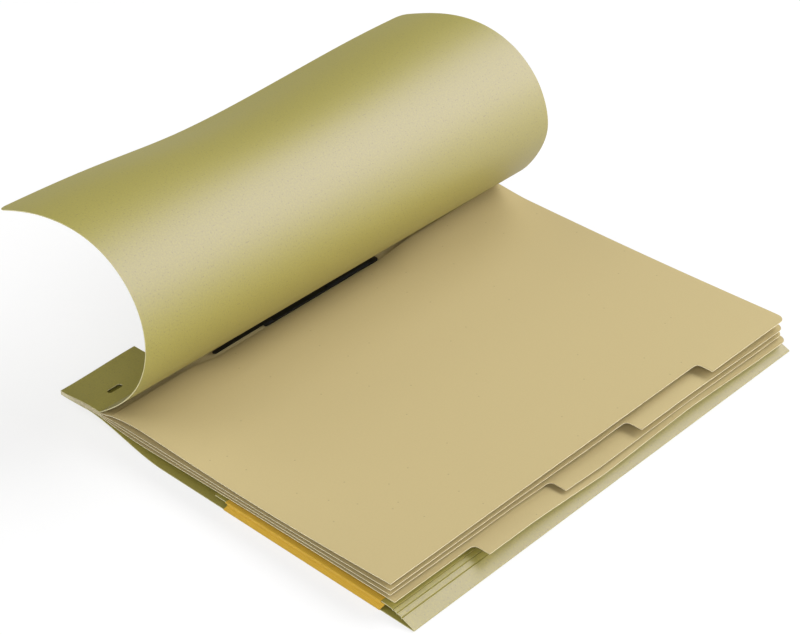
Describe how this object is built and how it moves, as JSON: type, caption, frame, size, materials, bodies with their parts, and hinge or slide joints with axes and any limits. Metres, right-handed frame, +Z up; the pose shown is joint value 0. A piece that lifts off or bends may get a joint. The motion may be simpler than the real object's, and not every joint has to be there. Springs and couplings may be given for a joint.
{
  "type": "hanging file folder",
  "caption": "Hanging file folder lying open: board covers, bound margin with slotted hanging lugs, stepped index dividers, prong fastener and a linen-sided pocket.",
  "frame": {"origin": "under the middle of the whole object, on the surface that the back cover lies on", "axes": "+Z up, +X from the spine to the fore edge, +Y along the spine from the near end to the far end"},
  "size_m": [0.3061, 0.318, 0.1286],
  "materials": {
    "pressboard": "mottled olive pressboard with a soft sheen",
    "manila": "matte fibrous manila board",
    "linen": "yellow woven bookbinding linen",
    "plastic": "black satin plastic"
  },
  "bodies": {
    "bound_spine": {"back_panel": "pressboard", "front_cover_margin": "pressboard", "divider_1_margin": "manila", "divider_2_margin": "manila", "divider_3_margin": "manila", "divider_4_margin": "manila", "gusset_near": "linen", "gusset_far": "linen", "fastener_prongs": "plastic", "fastener_bar": "plastic"},
    "cover_strip_01": {"front_cover_strip_01": "pressboard"},
    "cover_strip_02": {"front_cover_strip_02": "pressboard"},
    "cover_strip_03": {"front_cover_strip_03": "pressboard"},
    "cover_strip_04": {"front_cover_strip_04": "pressboard"},
    "cover_strip_05": {"front_cover_strip_05": "pressboard"},
    "cover_strip_06": {"front_cover_strip_06": "pressboard"},
    "cover_strip_07": {"front_cover_strip_07": "pressboard"},
    "cover_strip_08": {"front_cover_strip_08": "pressboard"},
    "cover_strip_09": {"front_cover_strip_09": "pressboard"},
    "cover_strip_10": {"front_cover_strip_10": "pressboard"},
    "cover_strip_11": {"front_cover_strip_11": "pressboard"},
    "cover_strip_12": {"front_cover_strip_12": "pressboard"},
    "divider_1": {"divider_1_leaf": "manila"},
    "divider_2": {"divider_2_leaf": "manila"},
    "divider_3": {"divider_3_leaf": "manila"},
    "divider_4": {"divider_4_leaf": "manila"},
    "pocket_strip": {"pocket_strip": "pressboard"},
    "pocket_flap": {"pocket_flap": "pressboard", "gusset_band_near": "linen", "gusset_band_far": "linen"}
  },
  "joints": [
    {"name": "cover_swing", "type": "hinge", "parent": "bound_spine", "child": "cover_strip_01", "pos_m": [-0.07847, 0, 0.01285], "axis": [0, -1, 0], "range_deg": [-9, 55]},
    {"name": "cover_roll", "type": "hinge", "parent": "cover_strip_01", "child": "cover_strip_02", "pos_m": [-0.06327, 0, 0.02472], "axis": [0, -1, 0], "range_deg": [-34.66, 0]},
    {"name": "cover_roll_03", "type": "hinge", "parent": "cover_strip_02", "child": "cover_strip_03", "pos_m": [-0.04986, 0, 0.03856], "axis": [0, -1, 0], "range_deg": [-12.53, 0.5]},
    {"name": "cover_roll_04", "type": "hinge", "parent": "cover_strip_03", "child": "cover_strip_04", "pos_m": [-0.03965, 0, 0.05487], "axis": [0, -1, 0], "range_deg": [-16.64, 0.5]},
    {"name": "cover_roll_05", "type": "hinge", "parent": "cover_strip_04", "child": "cover_strip_05", "pos_m": [-0.03438, 0, 0.07334], "axis": [0, -1, 0], "range_deg": [-20.75, 0.5]},
    {"name": "cover_roll_06", "type": "hinge", "parent": "cover_strip_05", "child": "cover_strip_06", "pos_m": [-0.03583, 0, 0.09246], "axis": [0, -1, 0], "range_deg": [-24.56, 0.5]},
    {"name": "cover_roll_07", "type": "hinge", "parent": "cover_strip_06", "child": "cover_strip_07", "pos_m": [-0.04494, 0, 0.10929], "axis": [0, -1, 0], "range_deg": [-24, 0.5]},
    {"name": "cover_roll_08", "type": "hinge", "parent": "cover_strip_07", "child": "cover_strip_08", "pos_m": [-0.06003, 0, 0.12112], "axis": [0, -1, 0], "range_deg": [-20.15, 0.5]},
    {"name": "cover_roll_09", "type": "hinge", "parent": "cover_strip_08", "child": "cover_strip_09", "pos_m": [-0.07826, 0, 0.12721], "axis": [0, -1, 0], "range_deg": [-16.22, 0.5]},
    {"name": "cover_roll_10", "type": "hinge", "parent": "cover_strip_09", "child": "cover_strip_10", "pos_m": [-0.09748, 0, 0.12812], "axis": [0, -1, 0], "range_deg": [-12.29, 0.5]},
    {"name": "cover_roll_11", "type": "hinge", "parent": "cover_strip_10", "child": "cover_strip_11", "pos_m": [-0.11651, 0, 0.12509], "axis": [0, -1, 0], "range_deg": [-8.36, 0.5]},
    {"name": "cover_roll_12", "type": "hinge", "parent": "cover_strip_11", "child": "cover_strip_12", "pos_m": [-0.13496, 0, 0.11948], "axis": [0, -1, 0], "range_deg": [-4.43, 0.5]},
    {"name": "divider_4_turn", "type": "hinge", "parent": "bound_spine", "child": "divider_4", "pos_m": [-0.06877, 0, 0.01018], "axis": [0, -1, 0], "range_deg": [0, 6]},
    {"name": "divider_3_turn", "type": "hinge", "parent": "divider_4", "child": "divider_3", "pos_m": [-0.06877, 0, 0.01082], "axis": [0, -1, 0], "range_deg": [0, 8]},
    {"name": "divider_2_turn", "type": "hinge", "parent": "divider_3", "child": "divider_2", "pos_m": [-0.06877, 0, 0.01148], "axis": [0, -1, 0], "range_deg": [0, 10]},
    {"name": "divider_1_turn", "type": "hinge", "parent": "divider_2", "child": "divider_1", "pos_m": [-0.06877, 0, 0.01213], "axis": [0, -1, 0], "range_deg": [0, 40]},
    {"name": "pocket_fold", "type": "hinge", "parent": "bound_spine", "child": "pocket_strip", "pos_m": [0.15278, 0, 0.00105], "axis": [0, 1, 0], "range_deg": [-10.5, 0], "deforming": ["gusset_near", "gusset_far"]},
    {"name": "pocket_flap_level", "type": "hinge", "parent": "pocket_strip", "child": "pocket_flap", "pos_m": [0.134, 0, 0.0063], "axis": [0, 1, 0], "range_deg": [-0.5, 11]}
  ],
  "couplings": [
    {"joint": "cover_roll_03", "follows": "cover_roll", "ratio": 0.34715},
    {"joint": "cover_roll_04", "follows": "cover_roll", "ratio": 0.46575},
    {"joint": "cover_roll_05", "follows": "cover_roll", "ratio": 0.58434},
    {"joint": "cover_roll_06", "follows": "cover_roll", "ratio": 0.69429},
    {"joint": "cover_roll_07", "follows": "cover_roll", "ratio": 0.67798},
    {"joint": "cover_roll_08", "follows": "cover_roll", "ratio": 0.56687},
    {"joint": "cover_roll_09", "follows": "cover_roll", "ratio": 0.4535},
    {"joint": "cover_roll_10", "follows": "cover_roll", "ratio": 0.34012},
    {"joint": "cover_roll_11", "follows": "cover_roll", "ratio": 0.22675},
    {"joint": "cover_roll_12", "follows": "cover_roll", "ratio": 0.11337},
    {"joint": "pocket_flap_level", "follows": "pocket_fold", "ratio": -1}
  ]
}
